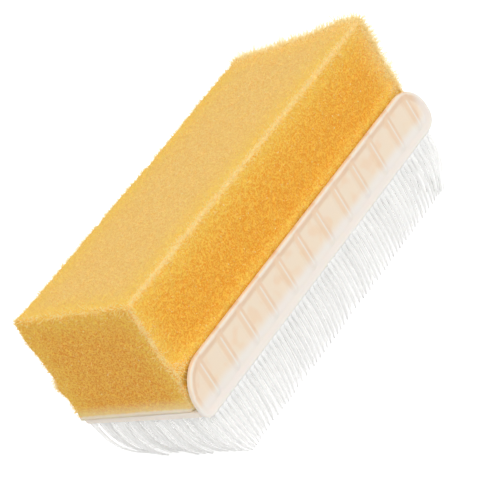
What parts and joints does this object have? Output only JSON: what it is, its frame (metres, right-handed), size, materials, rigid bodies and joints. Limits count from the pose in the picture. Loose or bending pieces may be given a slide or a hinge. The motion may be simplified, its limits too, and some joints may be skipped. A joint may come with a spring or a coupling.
{
  "type": "scrub brush",
  "caption": "Scrub brush with an orange foam sponge block bonded on a translucent moulded bristle brush with ribbed side grips.",
  "frame": {"origin": "centre of the bounding box's footprint, on the plane of the bristle tips", "axes": "+X along the brush's length towards the foam's askew end, +Y across its width, +Z from the bristle tips up to the foam's wiping face"},
  "size_m": [0.0872, 0.0336, 0.0376],
  "materials": {
    "foam": "fine open-cell polyurethane foam, matte, orange yellow",
    "adhesive": "thin cured bond film, translucent amber",
    "frosted_plastic": "translucent frosted polyethylene, soft satin",
    "bristle_plastic": "clear to milky polyethylene bristles, satin"
  },
  "bodies": {
    "root": {"foam_sponge": "foam", "adhesive_layer": "adhesive", "back_plate": "frosted_plastic", "finger_grip_right": "frosted_plastic", "finger_grip_left": "frosted_plastic", "bristle_row_01": "bristle_plastic", "bristle_row_02": "bristle_plastic", "bristle_row_03": "bristle_plastic", "bristle_row_04": "bristle_plastic", "bristle_row_05": "bristle_plastic", "bristle_row_06": "bristle_plastic", "bristle_row_07": "bristle_plastic", "bristle_row_08": "bristle_plastic", "bristle_row_09": "bristle_plastic", "bristle_row_10": "bristle_plastic", "bristle_row_11": "bristle_plastic", "bristle_row_12": "bristle_plastic", "bristle_row_13": "bristle_plastic", "bristle_row_14": "bristle_plastic", "bristle_row_15": "bristle_plastic", "bristle_row_16": "bristle_plastic", "bristle_row_17": "bristle_plastic", "bristle_row_18": "bristle_plastic"}
  },
  "joints": []
}
